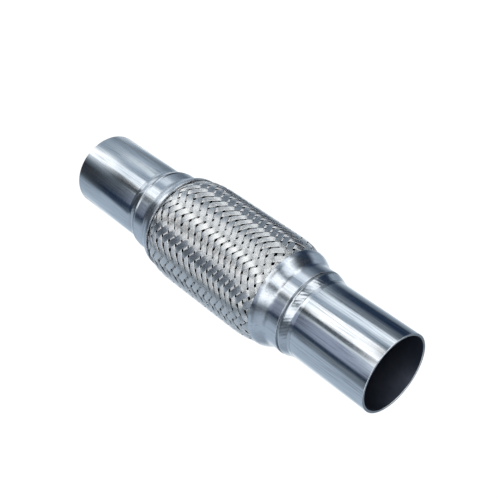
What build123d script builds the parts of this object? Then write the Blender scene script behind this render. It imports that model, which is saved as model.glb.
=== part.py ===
"""Exhaust flex pipe: a braided flexible section between two welded pipe ends, standing on its inlet."""

from build123d import *
import math
import os

# Pipe ends, in millimetres
tube_radius = 25.4
tube_wall = 1.5
tube_reach = 64.0
tube_insert = 12.0
insert_taper = 0.2
tube_edge_break = 0.3

# Radial clearance between clamped layers, and how far the soft layers stop short of the weld
layer_gap = 0.1
layer_setback = 0.5

# Inner braid sleeve
liner_wall = 0.6

# Bellows, two plies drawn together as one wall
bellows_wall = 0.4
fold_depth = 5.2
fold_width = 4.8
fold_pitch = 9.6
fold_count = 7

# End collars pressed over the layers
rim_span = 94.6
collar_wall = 1.2
collar_rise = 4.3
knuckle_rise = 2.7
knuckle_length = 4.9
shoulder_length = 9.2
neck_length = 9.0

# Weld beads between collar necks and pipes
weld_length = 9.0
weld_step = 0.4
weld_crown = 0.55
weld_gap = 0.05

# Outer braid: ribbons cross in a zigzag, so each row of the wall is one zigzag ridge
braid_clearance = 0.35
braid_wall = 0.8
ridge_height = 1.3
ribbon_columns = 24
row_pitch = 5.7
row_count = 15
groove_width = 1.3
barrel_flat = 44.0
barrel_fullness = 4
rim_gap = 0.3
tail_wall = 1.0
tail_length = 4.0
gap_width = 2.4
gap_height = 1.8
gap_stride = 3

# Radii, from the bore outwards
liner_inner = tube_radius + layer_gap
liner_outer = liner_inner + liner_wall
cuff_inner = liner_outer + layer_gap
cuff_outer = cuff_inner + bellows_wall
neck_inner = cuff_outer + layer_gap
neck_outer = neck_inner + collar_wall
crest_outer = cuff_outer + fold_depth
braid_inner = (crest_outer + braid_clearance) / math.cos(math.pi / ribbon_columns)
braid_outer = braid_inner + braid_wall + ridge_height
rim_outer = neck_outer + collar_rise
rim_inner = rim_outer - collar_wall
braid_rim = rim_inner - rim_gap

# Places along the axis, counted from the middle of the flexible section
rim_half = rim_span / 2
neck_start = rim_half + shoulder_length
neck_end = neck_start + neck_length
tube_start = neck_end - tube_insert
tube_end = neck_end + tube_reach
weld_end = neck_end + weld_length
layer_end = neck_end - layer_setback
fold_half = ((fold_count - 1) * fold_pitch + fold_width) / 2
knuckle_half = rim_half + knuckle_length
middle = Plane.XY.offset(tube_end)

# The braid's tails follow the collars' first slope
tail_fall = (collar_rise - knuckle_rise) / knuckle_length


def lathe(points):
    """Turn a closed outline of (radius, height above the middle) about the part's axis."""
    with BuildSketch(Plane.XZ) as outline:
        with BuildLine():
            Polyline([(r, tube_end + h) for r, h in points], close=True)
        make_face()
    return revolve(outline.sketch, axis=Axis.Z, mode=Mode.PRIVATE)


# Pipe ends, cut square and lightly broken outside, tapering in from the weld to enter the layers
with BuildPart() as outlet_pipe:
    add(
        lathe(
            [
                (tube_radius - tube_wall, tube_start),
                (tube_radius - insert_taper, tube_start),
                (tube_radius, weld_end),
                (tube_radius, tube_end - tube_edge_break),
                (tube_radius - tube_edge_break, tube_end),
                (tube_radius - tube_wall, tube_end),
            ]
        )
    )
outlet_pipe.part.label = "outlet_pipe"

with BuildPart() as inlet_pipe:
    mirror(outlet_pipe.part, about=middle)
inlet_pipe.part.label = "inlet_pipe"

# Collars: a rim over the braid, a knuckled shoulder and a neck over the cuffs
knuckle_outer = neck_outer + knuckle_rise
with BuildPart() as outlet_collar:
    add(
        lathe(
            [
                (rim_inner, rim_half),
                (rim_outer, rim_half),
                (knuckle_outer, knuckle_half),
                (neck_outer, neck_start),
                (neck_outer, neck_end),
                (neck_inner, neck_end),
                (neck_inner, neck_start),
                (knuckle_outer - collar_wall, knuckle_half),
            ]
        )
    )
outlet_collar.part.label = "outlet_collar"

with BuildPart() as inlet_collar:
    mirror(outlet_collar.part, about=middle)
inlet_collar.part.label = "inlet_collar"

# Weld beads, falling from the neck's end to the pipe in a low crown
with BuildPart() as outlet_weld:
    toe = tube_radius + weld_gap
    head = neck_outer - weld_step
    crown = (toe + head) / 2 + weld_crown
    add(
        lathe(
            [
                (toe, neck_end),
                (head, neck_end),
                (crown, neck_end + weld_length / 2),
                (toe, weld_end),
            ]
        )
    )
outlet_weld.part.label = "outlet_weld"

with BuildPart() as inlet_weld:
    mirror(outlet_weld.part, about=middle)
inlet_weld.part.label = "inlet_weld"

# Inner braid: a plain sleeve whose ends sit over the pipes
with BuildPart() as inner_braid:
    add(
        lathe(
            [
                (liner_inner, -layer_end),
                (liner_outer, -layer_end),
                (liner_outer, layer_end),
                (liner_inner, layer_end),
            ]
        )
    )
inner_braid.part.label = "inner_braid"

# Bellows: a thin wall with flat-topped folds between two cuffs
with BuildPart() as bellows:
    skin = [(cuff_outer, -layer_end)]
    lining = [(cuff_inner, -layer_end)]
    for fold in range(fold_count):
        low = -fold_half + fold * fold_pitch
        high = low + fold_width
        skin += [(cuff_outer, low), (crest_outer, low), (crest_outer, high), (cuff_outer, high)]
        low, high = low + bellows_wall, high - bellows_wall
        crest_inner = crest_outer - bellows_wall
        lining += [(cuff_inner, low), (crest_inner, low), (crest_inner, high), (cuff_inner, high)]
    skin.append((cuff_outer, layer_end))
    lining.append((cuff_inner, layer_end))
    add(lathe(skin + lining[::-1]))
bellows.part.label = "bellows"


def braid_radius(height):
    """Outer radius of the braid at a height above the middle: flat, then falling to the rims."""
    past = max(0.0, abs(height) - barrel_flat / 2)
    share = past / (rim_half - barrel_flat / 2)
    if share < 1:
        return braid_outer - (braid_outer - braid_rim) * share**barrel_fullness
    return braid_rim - tail_fall * (abs(height) - rim_half)


def braid_ring(height, depth, rise=0.0):
    """Corners of one closed ring of the braid wall, rising and falling by turns from column to column."""
    corners = []
    for column in range(ribbon_columns):
        place = height + rise * (column % 2)
        corner = Vector(braid_radius(place) - depth, 0, tube_end + place)
        corners.append(corner.rotate(Axis.Z, 360 * column / ribbon_columns))
    return corners


def gap_columns(groove):
    """Columns at which a gap opens along one groove, a few steps apart and shifted from row to row."""
    return {column for column in range(ribbon_columns) if (column + groove) % gap_stride == 0}


def cut_back(corner, neighbour, distance):
    """Point that lies a distance from a corner towards its neighbour."""
    return corner + (neighbour - corner).normalized() * distance


def fan(outline):
    """Flat three-sided faces that fill an outline."""
    first = outline[0]
    return [Face(Wire.make_polygon([first, *pair])) for pair in zip(outline[1:], outline[2:])]


def wall_band(lower, upper, lower_gaps=frozenset(), upper_gaps=frozenset()):
    """Faces between two rings, each cell cut back at the corners where a gap opens."""
    faces = []
    for column in range(ribbon_columns):
        after = (column + 1) % ribbon_columns
        corners = [lower[column], lower[after], upper[after], upper[column]]
        opened = [column in lower_gaps, after in lower_gaps, after in upper_gaps, column in upper_gaps]
        outline = []
        for place, corner in enumerate(corners):
            if opened[place]:
                reach = [gap_height / 2, gap_width / 2]
                outline.append(cut_back(corner, corners[place - 1], reach[place % 2]))
                outline.append(cut_back(corner, corners[(place + 1) % 4], reach[1 - place % 2]))
            else:
                outline.append(corner)
        faces += fan(outline)
    return faces


def gap_mouth(rings, place, column):
    """The four corners of a gap's mouth on one side of the wall."""
    corner = rings[place][column]
    sideways = [rings[place][column - 1], rings[place][(column + 1) % ribbon_columns]]
    lengthways = [rings[place + 1][column], rings[place - 1][column]]
    return [
        cut_back(corner, sideways[0], gap_width / 2),
        cut_back(corner, lengthways[0], gap_height / 2),
        cut_back(corner, sideways[1], gap_width / 2),
        cut_back(corner, lengthways[1], gap_height / 2),
    ]


# Outer braid: each row of ribbons is one zigzag ridge, with small gaps through the grooves between
with BuildPart() as outer_braid:
    tail_half = rim_half + tail_length
    field_start = -(row_count + 1) * row_pitch / 2
    floor_depth = ridge_height + braid_wall
    outside = [braid_ring(-tail_half, 0), braid_ring(-rim_half, 0)]
    inside = [braid_ring(-tail_half, tail_wall), braid_ring(-rim_half, tail_wall)]
    outside_gaps = {}
    inside_gaps = {}
    for groove in range(row_count + 1):
        base = field_start + groove * row_pitch
        if 0 < groove < row_count:
            outside_gaps[len(outside)] = gap_columns(groove)
            inside_gaps[len(inside)] = gap_columns(groove)
        outside.append(braid_ring(base, ridge_height, row_pitch))
        inside.append(braid_ring(base, floor_depth, row_pitch))
        if groove < row_count:
            outside.append(braid_ring(base + groove_width / 2, 0, row_pitch))
            outside.append(braid_ring(base + row_pitch - groove_width / 2, 0, row_pitch))
    outside += [braid_ring(rim_half, 0), braid_ring(tail_half, 0)]
    inside += [braid_ring(rim_half, tail_wall), braid_ring(tail_half, tail_wall)]

    wall_faces = wall_band(inside[0], outside[0]) + wall_band(outside[-1], inside[-1])
    for rings, gaps in ((outside, outside_gaps), (inside, inside_gaps)):
        for place in range(len(rings) - 1):
            lower_gaps = gaps.get(place, frozenset())
            upper_gaps = gaps.get(place + 1, frozenset())
            wall_faces += wall_band(rings[place], rings[place + 1], lower_gaps, upper_gaps)
    for (outside_place, columns), inside_place in zip(outside_gaps.items(), inside_gaps):
        for column in columns:
            outer_mouth = gap_mouth(outside, outside_place, column)
            inner_mouth = gap_mouth(inside, inside_place, column)
            for side in range(4):
                wall_faces += fan(
                    [outer_mouth[side - 1], outer_mouth[side], inner_mouth[side], inner_mouth[side - 1]]
                )
    add(Solid(Shell(wall_faces)))
outer_braid.part.label = "outer_braid"

os.makedirs("parts", exist_ok=True)
for piece in (
    inlet_pipe,
    outlet_pipe,
    inlet_collar,
    outlet_collar,
    inlet_weld,
    outlet_weld,
    inner_braid,
    bellows,
    outer_braid,
):
    export_step(piece.part, f"parts/{piece.part.label}.step")
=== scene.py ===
import logging
import math
import random
from dataclasses import dataclass
from enum import Enum

import bpy
import numpy as np
from mathutils import Euler, Matrix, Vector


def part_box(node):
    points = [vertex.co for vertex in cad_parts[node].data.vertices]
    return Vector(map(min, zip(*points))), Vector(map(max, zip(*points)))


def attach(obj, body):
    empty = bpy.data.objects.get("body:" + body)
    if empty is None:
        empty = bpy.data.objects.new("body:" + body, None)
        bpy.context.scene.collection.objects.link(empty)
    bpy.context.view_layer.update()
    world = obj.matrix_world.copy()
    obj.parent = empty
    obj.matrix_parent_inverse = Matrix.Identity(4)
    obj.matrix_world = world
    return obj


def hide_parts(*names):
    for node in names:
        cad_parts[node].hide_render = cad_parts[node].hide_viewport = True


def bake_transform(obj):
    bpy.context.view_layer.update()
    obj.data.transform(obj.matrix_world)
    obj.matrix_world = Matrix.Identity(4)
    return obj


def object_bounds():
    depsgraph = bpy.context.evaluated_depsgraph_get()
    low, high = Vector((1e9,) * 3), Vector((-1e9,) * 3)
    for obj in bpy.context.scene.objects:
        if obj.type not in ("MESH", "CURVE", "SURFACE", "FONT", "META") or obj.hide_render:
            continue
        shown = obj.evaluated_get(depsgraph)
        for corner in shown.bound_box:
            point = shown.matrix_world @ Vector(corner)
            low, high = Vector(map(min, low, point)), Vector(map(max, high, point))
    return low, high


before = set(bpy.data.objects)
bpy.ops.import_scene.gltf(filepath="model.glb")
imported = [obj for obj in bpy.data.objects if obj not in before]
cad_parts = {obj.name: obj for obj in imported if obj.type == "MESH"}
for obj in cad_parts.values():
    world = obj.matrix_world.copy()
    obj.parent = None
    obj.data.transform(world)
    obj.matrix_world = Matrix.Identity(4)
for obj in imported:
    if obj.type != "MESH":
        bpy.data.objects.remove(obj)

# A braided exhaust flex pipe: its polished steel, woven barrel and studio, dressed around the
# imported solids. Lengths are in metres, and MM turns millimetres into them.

LOG = logging.getLogger("flex_pipe")
MM = 0.001
CAD_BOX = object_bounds()

# The part's middle plane lies halfway up its box
MIDDLE = (CAD_BOX[0][2] + CAD_BOX[1][2]) / 2

# Sides of every turned piece, fine enough that a mirror finish shows no facets
TURNED_SIDES = 192

# How many times finer a line is drawn while its corners are rounded than it is kept
ROUNDING_FINENESS = 4

# Points closer together than this are one point
MERGE_DISTANCE = 0.001 * MM

# Broken edges: how many facets they have, and the least turn in degrees that is an edge
EDGE_SEGMENTS = 3
EDGE_TURN = 50.0

# Least turn between two faces that stays a corner, in degrees, on thick walls and on thin ones
CORNER_TURN = 40.0
THIN_CORNER_TURN = 60.0

# Nearly all of a noise's values lie between these two
NOISE_LOW = 0.3
NOISE_HIGH = 0.7

# A finish is smeared at a quarter turn from the way its marks run
SMEAR_TURN = 0.25

# How much brighter the studio's lamps are than its palest panels
LAMP_POWER = 1.3

# Azimuth of the camera as seen from the part's axis, in degrees
CAMERA_AZIMUTH = -91.2


class End(Enum):
    """The two ends of the part: its body's name, and which way it points along the axis."""

    INLET = ("inlet", -1)
    OUTLET = ("outlet", 1)

    @property
    def body(self) -> str:
        """Name of the body that the end's pieces ride on."""
        return self.value[0]

    @property
    def way(self) -> int:
        """One towards the outlet, minus one towards the inlet."""
        return self.value[1]


class Hand(Enum):
    """The two families of a braid's ribbons, by the way they turn as they climb."""

    LEFT = 1
    RIGHT = -1


def linear(colour: str) -> tuple[float, float, float, float]:
    """Turn an sRGB hex colour into linear values with full alpha.

    Args:
        colour: six hex digits after a hash sign.

    Returns:
        Red, green, blue and alpha.
    """
    shares = [int(colour[place : place + 2], 16) / 255 for place in (1, 3, 5)]
    red, green, blue = [s / 12.92 if s <= 0.04045 else ((s + 0.055) / 1.055) ** 2.4 for s in shares]
    return red, green, blue, 1.0


def add_node(
    tree: bpy.types.NodeTree,
    kind: str,
    settings: dict[str | int, object] | None = None,
    links: dict[str | int, bpy.types.NodeSocket] | None = None,
) -> bpy.types.Node:
    """Add one shader node.

    Args:
        tree: the material's or world's node tree.
        kind: the node's type, without its leading ShaderNode.
        settings: values by property name, or by the name or index of an input socket.
        links: output sockets of other nodes, by the name or index of the input that they feed.

    Returns:
        The new node.
    """
    node = tree.nodes.new("ShaderNode" + kind)
    for key, value in (settings or {}).items():
        if isinstance(key, str) and hasattr(node, key):
            setattr(node, key, value)
        else:
            node.inputs[key].default_value = value
    for key, source in (links or {}).items():
        tree.links.new(source, node.inputs[key])
    return node


def blank_material(name: str) -> bpy.types.Material:
    """Start a material that has no nodes yet.

    Args:
        name: what the real material is, and how it was worked.

    Returns:
        The material.
    """
    made = bpy.data.materials.new(name)
    made.use_nodes = True
    made.node_tree.nodes.clear()
    return made


def round_off(
    corners: list[tuple[float, float]], reach: float, spacing: float
) -> list[tuple[float, float]]:
    """Round the corners of a line by averaging it along its own length.

    Args:
        corners: radius and height of each corner, in metres.
        reach: length over which the line is averaged, in metres.
        spacing: distance between the rounded line's points, in metres.

    Returns:
        Radius and height of each point; the line keeps both of its ends.
    """
    line = np.array(corners)
    steps = np.hypot(*np.diff(line, axis=0).T)
    travelled = np.concatenate([[0.0], np.cumsum(steps)])
    fine = spacing / ROUNDING_FINENESS
    even = np.linspace(0, travelled[-1], max(2, round(travelled[-1] / fine)) + 1)
    points = np.stack([np.interp(even, travelled, line[:, axis]) for axis in (0, 1)], axis=1)
    half = max(1, round(reach / fine / 2))
    window = np.hanning(2 * half + 3)[1:-1]
    before = 2 * points[0] - points[half:0:-1]
    after = 2 * points[-1] - points[-2 : -half - 2 : -1]
    padded = np.concatenate([before, points, after])
    eased = [np.convolve(padded[:, axis], window / window.sum(), "valid") for axis in (0, 1)]
    chosen = [*range(0, len(points) - 1, ROUNDING_FINENESS), len(points) - 1]
    return [(float(eased[0][place]), float(eased[1][place])) for place in chosen]


@dataclass(frozen=True)
class TurnedSteel:
    """Stainless steel sheet or tube, polished round its axis on a belt.

    The fine marks run round the part, so reflections stay crisp across it and smear along it.
    Handling has left a few faint scuffs along it, which show as darker threads. Real belt marks
    are some 0.05 mm wide, too fine for the picture, and are drawn several times coarser here.
    """

    name: str
    light: str
    dark: str
    roughness: float
    roughness_spread: float
    smear: float
    scuffing: float = 0.0
    scuff: str = "#5d6166"
    waviness: float = 0.0
    belt_mark: float = 0.35 * MM
    belt_mark_length: float = 60 * MM
    belt_mark_depth: float = 0.004 * MM
    belt_mark_strength: float = 0.6
    scuff_width: float = 0.7 * MM
    scuff_length: float = 22 * MM
    scuff_start: float = 0.5
    scuff_full: float = 0.7
    cloud_size: float = 14 * MM
    wave_size: float = 9 * MM

    def material(self) -> bpy.types.Material:
        """Build the finish.

        Returns:
            A material whose marks follow the object's own coordinates.
        """
        made = blank_material(self.name)
        tree = made.node_tree
        place = add_node(tree, "TexCoord").outputs["Object"]
        long_marks = 1 / self.belt_mark_length
        marks_scale = (long_marks, long_marks, 1 / self.belt_mark)
        marks_place = add_node(tree, "Mapping", {"Scale": marks_scale}, {"Vector": place})
        marks = add_node(
            tree,
            "TexNoise",
            {"Scale": 1.0, "Detail": 3.0},
            {"Vector": marks_place.outputs["Vector"]},
        )
        clouds = add_node(
            tree, "TexNoise", {"Scale": 1 / self.cloud_size, "Detail": 3.0}, {"Vector": place}
        )
        colour = add_node(
            tree,
            "Mix",
            {"data_type": "RGBA", 6: linear(self.dark), 7: linear(self.light)},
            {0: clouds.outputs["Fac"]},
        )
        if self.scuffing:
            scuff_scale = (1 / self.scuff_width, 1 / self.scuff_width, 1 / self.scuff_length)
            scuff_place = add_node(tree, "Mapping", {"Scale": scuff_scale}, {"Vector": place})
            scuffs = add_node(
                tree,
                "TexNoise",
                {"Scale": 1.0, "Detail": 4.0},
                {"Vector": scuff_place.outputs["Vector"]},
            )
            worn = add_node(
                tree,
                "MapRange",
                {
                    "From Min": self.scuff_start,
                    "From Max": self.scuff_full,
                    "To Max": self.scuffing,
                },
                {"Value": scuffs.outputs["Fac"]},
            )
            colour = add_node(
                tree,
                "Mix",
                {"data_type": "RGBA", 7: linear(self.scuff)},
                {0: worn.outputs["Result"], 6: colour.outputs[2]},
            )
        low = self.roughness - self.roughness_spread / 2
        roughness = add_node(
            tree,
            "MapRange",
            {
                "From Min": NOISE_LOW,
                "From Max": NOISE_HIGH,
                "To Min": low,
                "To Max": low + self.roughness_spread,
            },
            {"Value": marks.outputs["Fac"]},
        )
        bump = add_node(
            tree,
            "Bump",
            {"Strength": self.belt_mark_strength, "Distance": self.belt_mark_depth},
            {"Height": marks.outputs["Fac"]},
        )
        if self.waviness:
            waves = add_node(
                tree, "TexNoise", {"Scale": 1 / self.wave_size, "Detail": 1.0}, {"Vector": place}
            )
            bump = add_node(
                tree,
                "Bump",
                {"Strength": 1.0, "Distance": self.waviness},
                {"Height": waves.outputs["Fac"], "Normal": bump.outputs["Normal"]},
            )
        tangent = add_node(tree, "Tangent", {"direction_type": "RADIAL", "axis": "Z"})
        shader = add_node(
            tree,
            "BsdfPrincipled",
            {"Metallic": 1.0, "Anisotropic": self.smear, "Anisotropic Rotation": SMEAR_TURN},
            {
                "Base Color": colour.outputs[2],
                "Roughness": roughness.outputs["Result"],
                "Normal": bump.outputs["Normal"],
                "Tangent": tangent.outputs["Tangent"],
            },
        )
        add_node(tree, "OutputMaterial", links={"Surface": shader.outputs["BSDF"]})
        return made


@dataclass(frozen=True)
class DullSteel:
    """Unpolished steel: even and dark, with soft cloudy patches. On the bellows the near black
    colour is painted shade.

    The grain that rolls and dies leave is some 0.1 mm wide, too fine for the picture, and is drawn
    several times coarser here.
    """

    name: str
    light: str
    dark: str
    roughness: float
    roughness_spread: float = 0.16
    cloud_size: float = 10 * MM
    grain: float = 0.4 * MM
    grain_depth: float = 0.02 * MM
    grain_strength: float = 0.4

    def material(self) -> bpy.types.Material:
        """Build the finish.

        Returns:
            A material whose patches follow the object's own coordinates.
        """
        made = blank_material(self.name)
        tree = made.node_tree
        place = add_node(tree, "TexCoord").outputs["Object"]
        clouds = add_node(
            tree, "TexNoise", {"Scale": 1 / self.cloud_size, "Detail": 4.0}, {"Vector": place}
        )
        grain = add_node(
            tree, "TexNoise", {"Scale": 1 / self.grain, "Detail": 2.0}, {"Vector": place}
        )
        colour = add_node(
            tree,
            "Mix",
            {"data_type": "RGBA", 6: linear(self.dark), 7: linear(self.light)},
            {0: clouds.outputs["Fac"]},
        )
        half = self.roughness_spread / 2
        roughness = add_node(
            tree,
            "MapRange",
            {"To Min": self.roughness - half, "To Max": self.roughness + half},
            {"Value": grain.outputs["Fac"]},
        )
        bump = add_node(
            tree,
            "Bump",
            {"Strength": self.grain_strength, "Distance": self.grain_depth},
            {"Height": grain.outputs["Fac"]},
        )
        shader = add_node(
            tree,
            "BsdfPrincipled",
            {"Metallic": 1.0},
            {
                "Base Color": colour.outputs[2],
                "Roughness": roughness.outputs["Result"],
                "Normal": bump.outputs["Normal"],
            },
        )
        add_node(tree, "OutputMaterial", links={"Surface": shader.outputs["BSDF"]})
        return made


@dataclass(frozen=True)
class DrawnWire:
    """Bright drawn steel wire, laid side by side in flat ribbons.

    Each wire is a little lighter or darker than the next, and its drawing marks run along it.
    """

    name: str
    light: str
    dark: str
    roughness: float
    wire: float
    mark_length: float = 30 * MM
    roughness_spread: float = 0.12
    smear: float = 0.7

    def material(self) -> bpy.types.Material:
        """Build the finish.

        Returns:
            A material that follows the ribbons' own map, which is in metres along and across.
        """
        made = blank_material(self.name)
        tree = made.node_tree
        place = add_node(tree, "UVMap", {"uv_map": "strand"}).outputs["UV"]
        stretch = add_node(
            tree,
            "Mapping",
            {"Scale": (1 / self.mark_length, 1 / self.wire, 1.0)},
            {"Vector": place},
        )
        wires = add_node(
            tree, "TexNoise", {"Scale": 1.0, "Detail": 2.0}, {"Vector": stretch.outputs["Vector"]}
        )
        colour = add_node(
            tree,
            "Mix",
            {"data_type": "RGBA", 6: linear(self.dark), 7: linear(self.light)},
            {0: wires.outputs["Fac"]},
        )
        half = self.roughness_spread / 2
        roughness = add_node(
            tree,
            "MapRange",
            {
                "From Min": NOISE_LOW,
                "From Max": NOISE_HIGH,
                "To Min": self.roughness - half,
                "To Max": self.roughness + half,
            },
            {"Value": wires.outputs["Fac"]},
        )
        along = add_node(tree, "Tangent", {"direction_type": "UV_MAP", "uv_map": "strand"})
        shader = add_node(
            tree,
            "BsdfPrincipled",
            {"Metallic": 1.0, "Anisotropic": self.smear, "Anisotropic Rotation": SMEAR_TURN},
            {
                "Base Color": colour.outputs[2],
                "Roughness": roughness.outputs["Result"],
                "Tangent": along.outputs["Tangent"],
            },
        )
        add_node(tree, "OutputMaterial", links={"Surface": shader.outputs["BSDF"]})
        return made


# Tube polished on a belt: bright and cool, crisp across the pipe and drawn out along it, with fine
# marks round it and a few darker threads where it was handled
PIPE_SKIN = TurnedSteel(
    "stainless_tube_belt_polished",
    light="#c6cacd",
    dark="#b2b7bc",
    roughness=0.16,
    roughness_spread=0.07,
    smear=0.7,
    scuffing=0.45,
)

# Sheet pressed over a form, then polished: a little softer than the pipe and very slightly uneven,
# so the bands of light on its steps run into one another
COLLAR_SKIN = TurnedSteel(
    "stainless_sheet_pressed_polished",
    light="#c6cacf",
    dark="#b6bbc0",
    roughness=0.23,
    roughness_spread=0.06,
    smear=0.92,
    scuffing=0.25,
    waviness=0.03 * MM,
)

# Weld metal as it set, wiped but not polished: each ripple glints by itself, with grey between
WELD_METAL = TurnedSteel(
    "stainless_weld_metal_rippled",
    light="#c6cace",
    dark="#9a9fa4",
    roughness=0.18,
    roughness_spread=0.1,
    smear=0.0,
    waviness=0.05 * MM,
    wave_size=2.5 * MM,
)

# Bore of the tube as it was rolled: a dull blue grey that only falls softly from light to dark
PIPE_BORE = DullSteel("stainless_tube_bore_unpolished", "#6a6f7c", "#4a4f5b", 0.4)

# Thin sheet drawn into folds, in the braid's shade: its almost black colour is painted shade, seen
# through the open crossings
BELLOWS_PAINTED_SHADE = DullSteel("stainless_bellows_painted_shade", "#222325", "#141517", 0.5)

# Bright drawn wire in flat ribbons: pale where a ribbon's wires catch a light across them, and a
# plain grey where they don't, so the two families part into light and dark
BRAID_WIRE = DrawnWire("stainless_wire_bright_drawn", "#d2d2d1", "#b8b8b7", 0.26, 0.5 * MM)

# The same wire, finer: a darker grey, which is painted shade from the outer braid above it
LINER_WIRE_PAINTED_SHADE = DrawnWire("stainless_wire_inner_painted_shade", "#8f9194", "#707276", 0.34, 0.25 * MM)


def start_alone() -> None:
    """Leave edit mode and deselect everything, so that the next operator acts on its own piece."""
    if bpy.context.object and bpy.context.object.mode != "OBJECT":
        bpy.ops.object.mode_set(mode="OBJECT")
    bpy.ops.object.select_all(action="DESELECT")


def raise_rings(outline: list[tuple[float, float]], closed: bool = False) -> bpy.types.Object:
    """Raise a turned sheet from a circle, ring by ring.

    Args:
        outline: radius and height of each ring, in metres.
        closed: whether the last ring meets the first again, which makes a solid ring.

    Returns:
        The active object, at the origin, with its faces outwards.
    """
    start_alone()
    radius, height = outline[0]
    bpy.ops.mesh.primitive_circle_add(vertices=TURNED_SIDES, radius=radius, location=(0, 0, height))
    bpy.ops.object.transform_apply(location=True, rotation=True, scale=True)
    bpy.ops.object.mode_set(mode="EDIT")
    bpy.ops.mesh.select_all(action="SELECT")
    rings = outline[1:] + outline[:1] if closed else outline[1:]
    for next_radius, next_height in rings:
        rise = {"value": (0, 0, next_height - height)}
        bpy.ops.mesh.extrude_region_move(TRANSFORM_OT_translate=rise)
        growth = next_radius / radius
        bpy.ops.transform.resize(value=(growth, growth, 1), center_override=(0, 0, next_height))
        radius, height = next_radius, next_height
    bpy.ops.mesh.select_all(action="SELECT")
    bpy.ops.mesh.remove_doubles(threshold=MERGE_DISTANCE)
    bpy.ops.mesh.normals_make_consistent(inside=False)
    bpy.ops.object.mode_set(mode="OBJECT")
    return bpy.context.object


def thicken(piece: bpy.types.Object, wall: float, edge: float) -> None:
    """Give a turned sheet its wall, inwards, and break its edges.

    Args:
        piece: the sheet.
        wall: thickness of the wall, in metres.
        edge: width of the broken edges, in metres.
    """
    breaking = {
        "width": edge,
        "segments": EDGE_SEGMENTS,
        "limit_method": "ANGLE",
        "angle_limit": math.radians(EDGE_TURN),
    }
    for kind, settings in (
        ("SOLIDIFY", {"thickness": wall, "offset": -1.0, "use_even_offset": True}),
        ("BEVEL", breaking),
    ):
        modifier = piece.modifiers.new(kind.lower(), kind)
        for key, value in settings.items():
            setattr(modifier, key, value)
        bpy.ops.object.modifier_apply(modifier=modifier.name)


def smooth(piece: bpy.types.Object, angle: float = CORNER_TURN) -> None:
    """Shade a piece smooth, apart from its real corners.

    Args:
        piece: the piece, which becomes the only selected one.
        angle: the least turn between two faces that stays a corner, in degrees.
    """
    start_alone()
    piece.select_set(True)
    bpy.context.view_layer.objects.active = piece
    bpy.ops.object.shade_smooth_by_angle(angle=math.radians(angle))


def settle(piece: bpy.types.Object, name: str, node: str) -> None:
    """Name a finished piece and let it stand for its solid.

    Args:
        piece: the finished piece.
        name: its name in the scene.
        node: the solid that it replaces.
    """
    piece.name = name
    piece.data.name = name
    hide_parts(node)
    faces = len(piece.data.polygons)
    LOG.info("%s: %d faces, stands for %s", name, faces, node)


@dataclass
class PipeEnd:
    """Plain pipe, cut square, whose inner end is hidden in the collar."""

    end: End
    wall: float = 1.5 * MM
    edge: float = 0.25 * MM

    @property
    def node(self) -> str:
        """Name of the pipe's solid."""
        return self.end.body + "_pipe"

    def build(self) -> bpy.types.Object:
        """Model the pipe and dress it.

        Returns:
            The finished pipe, riding on its body.
        """
        low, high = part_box(self.node)
        radius = (high.x - low.x) / 2
        piece = raise_rings([(radius, low.z), (radius, high.z)])
        thicken(piece, self.wall, self.edge)
        self.dress(piece, radius)
        smooth(piece)
        settle(piece, self.node + "_tube", self.node)
        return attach(piece, self.end.body)

    def dress(self, piece: bpy.types.Object, radius: float) -> None:
        """Give the outside and the cut edges their polish and the bore its dull finish.

        Args:
            piece: the pipe.
            radius: its outer radius, in metres.
        """
        piece.data.materials.append(PIPE_SKIN.material())
        piece.data.materials.append(PIPE_BORE.material())
        bore_reach = radius - self.wall + self.edge / 4
        for face in piece.data.polygons:
            if math.hypot(face.center.x, face.center.y) < bore_reach:
                face.material_index = 1


@dataclass
class Collar:
    """Pressed cap: a rim over the braid, a rounded shoulder, and a neck that flares a little."""

    end: End
    wall: float = 1.2 * MM
    edge: float = 0.2 * MM
    rounding: float = 3.8 * MM
    spacing: float = 0.5 * MM
    slope: tuple[tuple[float, float], ...] = (
        (0.35 * MM, 2.5 * MM),
        (1.95 * MM, 5.4 * MM),
        (4.1 * MM, 8.7 * MM),
        (4.5 * MM, 9.9 * MM),
        (4.3 * MM, 17.2 * MM),
    )

    @property
    def node(self) -> str:
        """Name of the collar's solid."""
        return self.end.body + "_collar"

    def outline(self) -> list[tuple[float, float]]:
        """Work out the outside of the collar from its rim to the end of its neck.

        Returns:
            Radius and height of each ring, in metres.
        """
        low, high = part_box(self.node)
        rim_radius = (high.x - low.x) / 2
        rim, tip = (low.z, high.z) if self.end is End.OUTLET else (high.z, low.z)
        way = self.end.way
        corners = [(rim_radius, rim)]
        corners += [(rim_radius - drop, rim + way * along) for drop, along in self.slope]
        corners.append((corners[-1][0], tip))
        return round_off(corners, self.rounding, self.spacing)

    def build(self) -> bpy.types.Object:
        """Model the collar and dress it.

        Returns:
            The finished collar, riding on its body.
        """
        piece = raise_rings(self.outline())
        thicken(piece, self.wall, self.edge)
        piece.data.materials.append(COLLAR_SKIN.material())
        smooth(piece)
        settle(piece, self.node + "_cap", self.node)
        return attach(piece, self.end.body)


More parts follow.
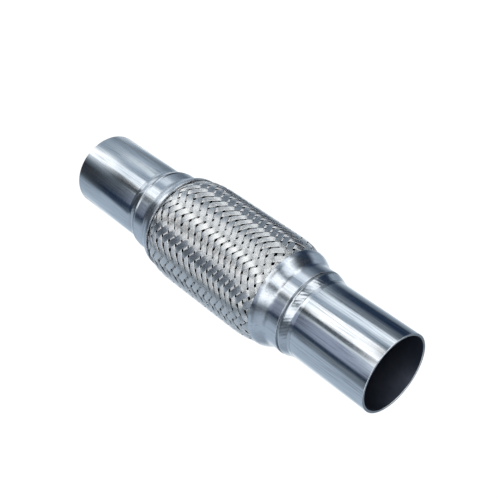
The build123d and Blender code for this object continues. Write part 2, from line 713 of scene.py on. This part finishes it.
@dataclass
class WeldBead:
    """Fillet weld from the collar's neck down to the pipe, laid in close slanted ripples."""

    end: End
    pipe_clearance: float = 0.05 * MM
    rounding: float = 0.7 * MM
    spacing: float = 0.25 * MM
    ripple: float = 0.065 * MM
    ripple_count: int = 66
    slant: float = 0.25
    drift: float = 1.5
    drift_count: int = 5
    unevenness: float = 0.35
    uneven_count: int = 11
    uneven_slant: float = 4.0
    section: tuple[tuple[float, float], ...] = (
        (1.35 * MM, 0.0),
        (1.4 * MM, 0.8 * MM),
        (2.1 * MM, 1.5 * MM),
        (1.95 * MM, 2.3 * MM),
        (0.4 * MM, 5.8 * MM),
        (0.03 * MM, 6.6 * MM),
    )

    @property
    def node(self) -> str:
        """Name of the bead's solid."""
        return self.end.body + "_weld"

    def outline(self) -> list[tuple[float, float]]:
        """Work out the bead's closed section, from the neck over the crown to the pipe and back.

        Returns:
            Radius and height of each ring, in metres.
        """
        low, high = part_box(self.node)
        head, toe = (low.z, high.z) if self.end is End.OUTLET else (high.z, low.z)
        pipe_low, pipe_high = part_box(self.end.body + "_pipe")
        toe_radius = (pipe_high.x - pipe_low.x) / 2 + self.pipe_clearance
        way = self.end.way
        corners = [(toe_radius + rise, head + way * along) for rise, along in self.section]
        corners.append((toe_radius, toe))
        rings = round_off(corners, self.rounding, self.spacing)
        under = toe_radius - self.pipe_clearance / 2
        return rings + [(under, toe), (under, head)]

    def build(self) -> bpy.types.Object:
        """Model the bead, lay its ripples and dress it.

        Returns:
            The finished bead, riding on its body.
        """
        piece = raise_rings(self.outline(), closed=True)
        self.lay_ripples(piece)
        piece.data.materials.append(WELD_METAL.material())
        smooth(piece)
        settle(piece, self.node + "_bead", self.node)
        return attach(piece, self.end.body)

    def lay_ripples(self, piece: bpy.types.Object) -> None:
        """Lift the crown in slanted ripples, now closer and now wider, as a moving pool leaves.

        Args:
            piece: the smooth bead.
        """
        low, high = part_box(self.node)
        length = high.z - low.z
        inner = min(math.hypot(v.co.x, v.co.y) for v in piece.data.vertices)
        for vertex in piece.data.vertices:
            radius = math.hypot(vertex.co.x, vertex.co.y)
            if radius < inner + self.pipe_clearance:
                continue
            share = (vertex.co.z - low.z) / length
            turn = math.atan2(vertex.co.y, vertex.co.x)
            swell = math.sin(math.pi * share)
            drift = self.drift * math.sin(self.drift_count * turn)
            beat = self.ripple_count * (turn + self.slant * share) + drift
            uneven = math.sin(self.uneven_count * turn + self.uneven_slant * share)
            pace = 1 + self.unevenness * uneven
            lift = self.ripple * swell * pace * math.sin(beat)
            vertex.co.x *= 1 + lift / radius
            vertex.co.y *= 1 + lift / radius


@dataclass
class Bellows:
    """Thin drawn wall with rounded folds between two cuffs, seen through the braid's gaps."""

    node: str = "bellows"
    wall: float = 0.4 * MM
    cuff_radius: float = 26.6 * MM
    fold_pitch: float = 9.6 * MM
    fold_count: int = 7
    fold_steps: int = 12
    fullness: float = 0.55

    def outline(self) -> list[tuple[float, float]]:
        """Work out the wall's outside from cuff to cuff.

        Returns:
            Radius and height of each ring, in metres.
        """
        low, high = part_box(self.node)
        depth = (high.x - low.x) / 2 - self.cuff_radius
        half = self.fold_count * self.fold_pitch / 2
        lead = self.fold_pitch / 4
        rings = [(self.cuff_radius, low.z), (self.cuff_radius, MIDDLE - half - lead)]
        for step in range(self.fold_count * self.fold_steps + 1):
            share = step / self.fold_steps
            lift = (0.5 - 0.5 * math.cos(2 * math.pi * share)) ** self.fullness
            rings.append((self.cuff_radius + depth * lift, MIDDLE - half + share * self.fold_pitch))
        return rings + [(self.cuff_radius, MIDDLE + half + lead), (self.cuff_radius, high.z)]

    def build(self) -> bpy.types.Object:
        """Model the bellows and dress it.

        Returns:
            The finished bellows, with its placement baked into its mesh.
        """
        piece = raise_rings(self.outline())
        thicken(piece, self.wall, self.wall / 8)
        # The bellows' near black colour is painted shade from the braid over it
        piece.data.materials.append(BELLOWS_PAINTED_SHADE.material())
        smooth(piece, THIN_CORNER_TURN)
        settle(piece, "bellows_wall", self.node)
        return bend_between_ends(piece)


def bend_between_ends(piece: bpy.types.Object) -> bpy.types.Object:
    """Bake a layer's placement into its mesh; the layer does not bend.

    Args:
        piece: the layer, whose mesh is final.

    Returns:
        The same piece.
    """
    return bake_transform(piece)


@dataclass
class Braid:
    """Sleeve of flat wire ribbons, each woven over two and under two of the other family.

    A place on the sleeve is given by its row, which climbs with height, and its column, which
    counts crossings round the part. A ribbon climbs half a row from one column to the next.
    The real ribbons have about a dozen wires of some 0.3 mm, too thin for the picture. Fewer and
    thicker ones stand for them.
    """

    name: str
    node: str
    slot: str
    finish: DrawnWire
    ribbons: int
    row_pitch: float
    cover: float
    wire: float
    wires: int
    layer_step: float
    samples: tuple[float, ...]
    first_column: float = 4.5
    first_row: float = 0.325
    slack: float = 0.0
    slack_span: float = 50 * MM
    twist: float = 0.0
    end_twist: float = 0.0
    end_twist_height: float = 42 * MM
    end_twist_power: int = 4
    barrel_flat: float = 0.0
    barrel_fullness: float = 4.0
    rim_radius: float = 0.0
    tail_fall: float = 0.0
    wander: float = 0.0
    wander_beats: tuple[float, float] = (7.0, 11.0)
    width_wander: float = 0.4
    width_beats: float = 5.0
    arch: float = 0.6
    valley: float = 0.26
    wire_top: tuple[float, float] = (0.3, 0.7)
    edge_drop: float = 0.5
    under_half: float = 0.44
    waist: float = 0.0
    crown: float = 0.08 * MM
    map_step: float = 3.7
    seed: int = 7

    def height(self, row: np.ndarray) -> np.ndarray:
        """Height above the middle of a row, the rows being drawn together towards the outlet.

        Args:
            row: rows, counted from the middle.

        Returns:
            Heights, in metres.
        """
        even = self.row_pitch * row
        return even + self.slack * (np.cos(math.pi * even / self.slack_span) - 1)

    def turn(self, column: np.ndarray, height: np.ndarray) -> np.ndarray:
        """Azimuth of a place, with the slight twist that handling leaves in the sleeve.

        Args:
            column: columns, counted clockwise from the one that faces the camera.
            height: heights above the middle, in metres.

        Returns:
            Azimuths, in radians.
        """
        step = 180 / self.ribbons
        end_share = (np.abs(height) / self.end_twist_height) ** self.end_twist_power
        wrung = self.twist * height / MM + self.end_twist * end_share
        return np.radians(CAMERA_AZIMUTH - self.first_column - step * column + wrung)

    def outer_radius(self, height: np.ndarray) -> np.ndarray:
        """Outer radius of the sleeve: flat in the middle, then drawn in to the rims.

        Args:
            height: heights above the middle, in metres.

        Returns:
            Radii, in metres.
        """
        low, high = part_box(self.node)
        full = (high.x - low.x) / 2
        if not self.barrel_flat:
            return np.full_like(height, full)
        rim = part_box("outlet_collar")[0].z - MIDDLE
        past = np.clip(np.abs(height) - self.barrel_flat / 2, 0, None)
        share = past / (rim - self.barrel_flat / 2)
        drawn = full - (full - self.rim_radius) * np.clip(share, 0, 1) ** self.barrel_fullness
        return drawn - self.tail_fall * np.clip(np.abs(height) - rim, 0, None)

    def section(self) -> tuple[np.ndarray, np.ndarray]:
        """Section of a ribbon: flat-topped wires side by side above, plain below.

        Returns:
            Place across the ribbon from -0.5 to 0.5, and drop below the wires' tops in metres.
        """
        across, drops = [], []
        for wire in range(self.wires):
            across += [(wire + share) / self.wires - 0.5 for share in (0.0, *self.wire_top)]
            drops += [self.valley * self.wire, 0.0, 0.0]
        across += [0.5, self.under_half, -self.under_half]
        drops += [self.valley * self.wire, self.wire, self.wire]
        drops[0] = drops[-3] = self.edge_drop * self.wire
        return np.array(across), np.array(drops)

    def crossings(self, own: float, half_height: float) -> np.ndarray:
        """Places along one ribbon, close together where it dives and further apart on its floats.

        Args:
            own: the ribbon's own row where it crosses the first column.
            half_height: half the sleeve's height, in metres.

        Returns:
            Rows of the other family that the places lie on.
        """
        reach = int(half_height / self.row_pitch) + 3
        dive = own - 0.5
        first = 2 * math.floor((-own - dive) / 2) - 2 * reach
        samples = np.array(self.samples)
        places = np.concatenate([dive + first + 2 * step + samples for step in range(2 * reach)])
        inside = np.abs(self.height((own + places) / 2)) <= half_height
        return places[inside]

    def ribbon(self, hand: Hand, index: int) -> tuple[np.ndarray, np.ndarray]:
        """Lay one ribbon.

        Args:
            hand: its family.
            index: its number in the family.

        Returns:
            Points of each section in turn, and each point's place along and across the ribbon.
        """
        low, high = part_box(self.node)
        half_height = (high.z - low.z) / 2
        own = self.first_row + index
        other = self.crossings(own, half_height)
        across, drops = self.section()
        luck = random.Random(self.seed * 1000 + hand.value * 100 + index)
        phase, beat = luck.random() * 2 * math.pi, luck.uniform(*self.wander_beats)
        sway = self.wander * np.sin(other / beat * 2 * math.pi + phase)
        centre_column = hand.value * (other - own)
        waist = self.waist * np.cos(2 * math.pi * centre_column)
        swelling = np.sin(other / beat * self.width_beats + 2 * phase)
        width = self.cover + waist + self.width_wander * self.wander * swelling
        wave = np.sin(math.pi * (centre_column + 0.5) / 2)
        lift = hand.value * np.sign(wave) * np.abs(wave) ** self.arch
        beside = sway[:, None] + width[:, None] * across[None, :]
        row = (own + beside + other[:, None]) / 2
        column = hand.value * (other[:, None] - own - beside)
        height = self.height(row)
        turn = self.turn(column, height)
        depth = self.layer_step / 2 * (1 - lift[:, None])
        crown = self.crown * (2 * across[None, :]) ** 2
        radius = self.outer_radius(height) - depth - drops[None, :] - crown
        points = np.stack([radius * np.cos(turn), radius * np.sin(turn), MIDDLE + height], axis=2)
        step_length = math.hypot(self.row_pitch / 2, math.pi * (high.x - low.x) / 2 / self.ribbons)
        along = np.broadcast_to(other[:, None] * step_length, row.shape)
        ribbon_width = self.row_pitch * self.cover
        sideways = (across + index * self.map_step)[None, :] * ribbon_width
        sideways = np.broadcast_to(sideways, row.shape)
        return points, np.stack([along, sideways], axis=2)

    def weave(self, hand: Hand) -> bpy.types.Object:
        """Lay a whole family of ribbons and dress it.

        Args:
            hand: the family.

        Returns:
            The finished family, with its placement baked into its mesh.
        """
        points, faces, places = [], [], []
        for index in range(self.ribbons):
            ribbon_points, ribbon_places = self.ribbon(hand, index)
            first = sum(len(block) for block in points)
            sections, corners = ribbon_points.shape[:2]
            points.append(ribbon_points.reshape(-1, 3))
            places.append(ribbon_places.reshape(-1, 2))
            for section in range(sections - 1):
                base = first + section * corners
                for corner in range(corners):
                    near, far = base + corner, base + (corner + 1) % corners
                    faces.append((near, far, far + corners, near + corners))
            faces.append(tuple(range(first, first + corners)))
            last = first + (sections - 1) * corners
            faces.append(tuple(range(last + corners - 1, last - 1, -1)))
        mesh = bpy.data.meshes.new(self.name)
        mesh.from_pydata(np.concatenate(points).tolist(), [], faces)
        strand = mesh.uv_layers.new(name="strand")
        where = np.concatenate(places)
        corner_points = np.zeros(len(mesh.loops), int)
        mesh.loops.foreach_get("vertex_index", corner_points)
        strand.data.foreach_set("uv", where[corner_points].astype(np.float32).ravel())
        start_alone()
        piece = bpy.data.objects.new(self.name, mesh)
        bpy.context.scene.collection.objects.link(piece)
        piece.select_set(True)
        bpy.context.view_layer.objects.active = piece
        bpy.ops.object.mode_set(mode="EDIT")
        bpy.ops.mesh.select_all(action="SELECT")
        bpy.ops.mesh.normals_make_consistent(inside=False)
        bpy.ops.object.mode_set(mode="OBJECT")
        mesh.materials.append(self.finish.material())
        smooth(piece, THIN_CORNER_TURN)
        settle(piece, f"{self.name}_{hand.name.lower()}", self.node)
        return bend_between_ends(piece)


OUTER_BRAID = Braid(
    name="outer_braid_ribbons",
    node="outer_braid",
    slot="braid_wire",
    finish=BRAID_WIRE,
    ribbons=24,
    row_pitch=5.75 * MM,
    cover=0.76,
    waist=0.065,
    wire=0.4 * MM,
    wires=8,
    layer_step=0.62 * MM,
    samples=(0.0, 0.1, 0.35, 0.65, 1.0, 1.35, 1.65, 1.9),
    slack=1.94 * MM,
    twist=0.06,
    end_twist=3.5,
    barrel_flat=44 * MM,
    rim_radius=30.7 * MM,
    tail_fall=0.33,
    wander=0.05,
)
INNER_BRAID = Braid(
    name="inner_braid_ribbons",
    node="inner_braid",
    slot="inner_wire",
    # The inner wire's darker grey is painted shade from the outer braid
    finish=LINER_WIRE_PAINTED_SHADE,
    ribbons=20,
    row_pitch=5.2 * MM,
    cover=0.9,
    wire=0.22 * MM,
    wires=3,
    layer_step=0.34 * MM,
    samples=(0.0, 0.4, 1.0, 1.6),
    wander=0.03,
    seed=11,
)


class Panel(Enum):
    """What stands round the part in the studio, by the colour that it shows."""

    LAMP = "#ffffff"
    SILK = "#e9f1f8"
    PAPER = "#ccd3d9"
    CARD = "#a2aebb"
    FELT = "#8d99a5"
    LILAC = "#9199ab"
    STONE = "#6e7780"
    SLATE = "#4e555c"
    SMOKE = "#303338"
    NIGHT = "#223044"
    SOOT = "#111821"

    @property
    def light(self) -> list[float]:
        """Linear colour, which for a lamp is stronger than any sheet's white."""
        power = LAMP_POWER if self is Panel.LAMP else 1.0
        return [power * share for share in linear(self.value)]


class Ring(Enum):
    """Rings of panels round the part, from the lowest up.

    Each has the rise at which it starts and the rise from which it is seen alone, and then the
    azimuth clockwise from the camera and the kind of each panel; light fades from one to the next.
    """

    UNDER = (
        (-1.0, -1.0),
        (
            (-180, Panel.SLATE),
            (-162, Panel.STONE),
            (-146, Panel.SLATE),
            (-60, Panel.SMOKE),
            (-2, Panel.SMOKE),
            (12, Panel.CARD),
            (26, Panel.PAPER),
            (60, Panel.CARD),
            (82, Panel.CARD),
            (104, Panel.SILK),
            (148, Panel.LAMP),
            (158, Panel.SILK),
            (170, Panel.FELT),
        ),
    )
    FOOT = (
        (-0.96, -0.9),
        (
            (-162, Panel.CARD),
            (-100, Panel.FELT),
            (-88, Panel.FELT),
            (-76, Panel.SLATE),
            (-64, Panel.SMOKE),
            (-28, Panel.SMOKE),
            (-14, Panel.STONE),
            (2, Panel.PAPER),
            (10, Panel.LAMP),
            (34, Panel.LAMP),
            (46, Panel.PAPER),
            (56, Panel.FELT),
            (96, Panel.FELT),
            (122, Panel.STONE),
            (136, Panel.CARD),
            (148, Panel.PAPER),
            (162, Panel.FELT),
        ),
    )
    FLOOR = (
        (-0.78, -0.72),
        (
            (-158, Panel.PAPER),
            (-146, Panel.CARD),
            (-80, Panel.CARD),
            (-70, Panel.NIGHT),
            (-54, Panel.NIGHT),
            (-30, Panel.SLATE),
            (-16, Panel.SLATE),
            (-8, Panel.SMOKE),
            (6, Panel.SMOKE),
            (12, Panel.SILK),
            (31, Panel.SILK),
            (37, Panel.FELT),
            (52, Panel.CARD),
            (62, Panel.PAPER),
            (78, Panel.PAPER),
            (88, Panel.CARD),
            (124, Panel.STONE),
            (146, Panel.FELT),
            (160, Panel.PAPER),
        ),
    )
    TABLE = (
        (-0.63, -0.52),
        (
            (-156, Panel.PAPER),
            (-140, Panel.CARD),
            (-80, Panel.CARD),
            (-74, Panel.STONE),
            (-62, Panel.STONE),
            (-57, Panel.NIGHT),
            (-51, Panel.NIGHT),
            (-46, Panel.LILAC),
            (-18, Panel.LILAC),
            (-15, Panel.PAPER),
            (-12, Panel.PAPER),
            (-9, Panel.SLATE),
            (0, Panel.SLATE),
            (3, Panel.LAMP),
            (31, Panel.LAMP),
            (34, Panel.FELT),
            (47, Panel.CARD),
            (52, Panel.SILK),
            (69, Panel.SILK),
            (73, Panel.STONE),
            (86, Panel.STONE),
            (98, Panel.NIGHT),
            (120, Panel.NIGHT),
            (128, Panel.STONE),
            (146, Panel.FELT),
            (162, Panel.PAPER),
        ),
    )
    HORIZON = (
        (-0.26, -0.1),
        (
            (-170, Panel.FELT),
            (-150, Panel.STONE),
            (-126, Panel.FELT),
            (-94, Panel.CARD),
            (-80, Panel.STONE),
            (-64, Panel.SLATE),
            (-52, Panel.SMOKE),
            (-38, Panel.STONE),
            (-30, Panel.PAPER),
            (-18, Panel.SILK),
            (-10, Panel.LAMP),
            (4, Panel.LAMP),
            (14, Panel.SLATE),
            (22, Panel.SMOKE),
            (42, Panel.SMOKE),
            (50, Panel.PAPER),
            (56, Panel.LAMP),
            (66, Panel.LAMP),
            (76, Panel.STONE),
            (84, Panel.NIGHT),
            (106, Panel.NIGHT),
            (118, Panel.CARD),
            (146, Panel.FELT),
        ),
    )
    SIDES = (
        (0.12, 0.26),
        (
            (-180, Panel.STONE),
            (-124, Panel.STONE),
            (-110, Panel.CARD),
            (-78, Panel.CARD),
            (-68, Panel.FELT),
            (-58, Panel.SLATE),
            (-48, Panel.STONE),
            (-39, Panel.SILK),
            (-30, Panel.LAMP),
            (-20, Panel.LAMP),
            (-9, Panel.PAPER),
            (-3, Panel.SLATE),
            (2, Panel.SLATE),
            (7, Panel.SILK),
            (11, Panel.LAMP),
            (25, Panel.LAMP),
            (29, Panel.SILK),
            (33, Panel.STONE),
            (38, Panel.STONE),
            (44, Panel.SILK),
            (52, Panel.SILK),
            (57, Panel.LAMP),
            (63, Panel.SILK),
            (70, Panel.STONE),
            (77, Panel.SMOKE),
            (85, Panel.SOOT),
            (114, Panel.SOOT),
            (124, Panel.SLATE),
            (136, Panel.STONE),
        ),
    )
    TOP = (
        (0.58, 0.78),
        (
            (-150, Panel.SILK),
            (-104, Panel.LAMP),
            (-70, Panel.PAPER),
            (-50, Panel.SLATE),
            (-38, Panel.SMOKE),
            (-4, Panel.SMOKE),
            (6, Panel.STONE),
            (12, Panel.SILK),
            (26, Panel.SILK),
            (34, Panel.FELT),
            (44, Panel.SILK),
            (52, Panel.LAMP),
            (130, Panel.LAMP),
        ),
    )

    @property
    def rise(self) -> tuple[float, float]:
        """Rise of a direction at which the ring starts, and from which it is seen alone."""
        return self.value[0]

    def hang(self, ramp: bpy.types.ColorRamp) -> None:
        """Hang the ring's panels.

        Args:
            ramp: a colour ramp over one turn, from behind the part clockwise round to there again.
        """
        panels = self.value[1]
        while len(ramp.elements) < len(panels):
            ramp.elements.new(0.5)
        for element, (azimuth, panel) in zip(ramp.elements, panels):
            element.position = 0.5 + azimuth / 360
            element.color = panel.light


@dataclass
class Studio:
    """Pale table and soft strip lights, seen through the photograph's own camera."""

    lens: float = 70.63
    sensor: float = 36.0
    look_down: float = 34.76
    roll: float = 124.91
    stand: tuple[float, float, float] = (-0.01017, -0.49248, 0.47657)
    table_size: float = 6.0
    far_end: float = 20.0
    glow: float = 1.75
    backdrop_glow: float = 1.05

    def place_camera(self) -> None:
        """Set up the camera, looking down on the part and rolled as in the photograph."""
        start_alone()
        bpy.ops.object.camera_add(location=self.stand)
        camera = bpy.context.object
        pitch = Euler((math.radians(90 - self.look_down), 0, 0)).to_matrix()
        turned = pitch @ Matrix.Rotation(math.radians(self.roll), 3, "Z")
        camera.rotation_euler = turned.to_euler()
        camera.data.lens = self.lens
        camera.data.sensor_width = self.sensor
        camera.data.clip_end = self.far_end
        bpy.context.scene.camera = camera

    def lay_table(self) -> None:
        """Lay the plain white table, which lights pass so that they can stand below it."""
        start_alone()
        bpy.ops.mesh.primitive_plane_add(size=self.table_size, location=(0, 0, 0))
        table = bpy.context.object
        table.name = "table"
        # Matt white paper lit from all round: an even white without a shadow
        made = blank_material("table_paper_matt")
        tree = made.node_tree
        white = {"Color": linear("#ffffff"), "Strength": self.backdrop_glow}
        glow = add_node(tree, "Emission", white)
        add_node(tree, "OutputMaterial", links={"Surface": glow.outputs["Emission"]})
        table.data.materials.append(made)
        table.visible_glossy = False
        table.visible_shadow = False
        table.visible_diffuse = False

    def hang_lights(self) -> None:
        """Build the strip lights as the world: rings of panels, one above the other."""
        world = bpy.data.worlds.new("studio")
        bpy.context.scene.world = world
        world.use_nodes = True
        tree = world.node_tree
        tree.nodes.clear()
        way = add_node(tree, "TexCoord").outputs["Generated"]
        facing = add_node(
            tree,
            "Mapping",
            {"Rotation": (0, 0, math.radians(-CAMERA_AZIMUTH))},
            {"Vector": way},
        )
        mirrored = add_node(
            tree, "Mapping", {"Scale": (1, -1, 1)}, {"Vector": facing.outputs["Vector"]}
        )
        around = add_node(
            tree, "TexGradient", {"gradient_type": "RADIAL"}, {"Vector": mirrored.outputs["Vector"]}
        )
        rise = add_node(tree, "SeparateXYZ", links={"Vector": way}).outputs["Z"]
        light = None
        for ring in Ring:
            ramp = add_node(tree, "ValToRGB", links={"Fac": around.outputs["Fac"]})
            ring.hang(ramp.color_ramp)
            if light is None:
                light = ramp.outputs["Color"]
                continue
            start, full = ring.rise
            share = add_node(
                tree,
                "MapRange",
                {"interpolation_type": "SMOOTHSTEP", "From Min": start, "From Max": full},
                {"Value": rise},
            )
            light = add_node(
                tree,
                "Mix",
                {"data_type": "RGBA"},
                {0: share.outputs["Result"], 6: light, 7: ramp.outputs["Color"]},
            ).outputs[2]
        lights = add_node(tree, "Background", {"Strength": self.glow}, {"Color": light})
        white = {"Color": linear("#ffffff"), "Strength": self.backdrop_glow}
        backdrop = add_node(tree, "Background", white)
        path = add_node(tree, "LightPath")
        seen = add_node(
            tree,
            "MixShader",
            links={
                0: path.outputs["Is Camera Ray"],
                1: lights.outputs["Background"],
                2: backdrop.outputs["Background"],
            },
        )
        add_node(tree, "OutputWorld", links={"Surface": seen.outputs["Shader"]})


def main() -> None:
    """Build every piece in order, then the studio."""
    logging.basicConfig(level=logging.INFO, format="%(name)s: %(message)s")
    studio = Studio()
    studio.place_camera()
    studio.hang_lights()
    studio.lay_table()
    for end in End:
        PipeEnd(end).build()
        Collar(end).build()
        WeldBead(end).build()
    Bellows().build()
    for braid in (INNER_BRAID, OUTER_BRAID):
        for hand in Hand:
            braid.weave(hand)
    bpy.context.scene.view_settings.view_transform = "Standard"


if __name__ == "__main__":
    main()
